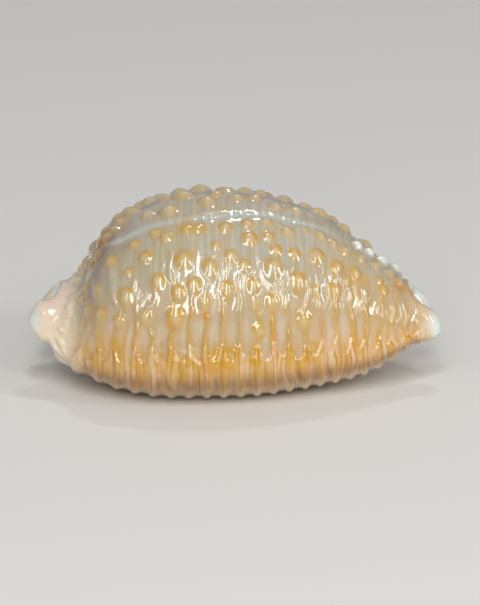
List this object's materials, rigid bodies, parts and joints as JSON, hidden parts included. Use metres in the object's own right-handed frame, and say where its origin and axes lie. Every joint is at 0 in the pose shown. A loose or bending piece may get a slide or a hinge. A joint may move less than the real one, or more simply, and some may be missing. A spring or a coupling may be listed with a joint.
{
  "type": "cowrie shell",
  "caption": "Small knobbed and ribbed cowrie shell, hollow, with a toothed slit below, resting on its ribs.",
  "frame": {"origin": "centre of the shell's outline on the surface it rests on", "axes": "+X towards the front end, +Z from the slit to the back, the outer lip on the -Y side"},
  "size_m": [0.022, 0.0134, 0.01],
  "materials": {
    "shell": "glossy"
  },
  "bodies": {
    "root": {"shell": "shell"}
  },
  "joints": []
}
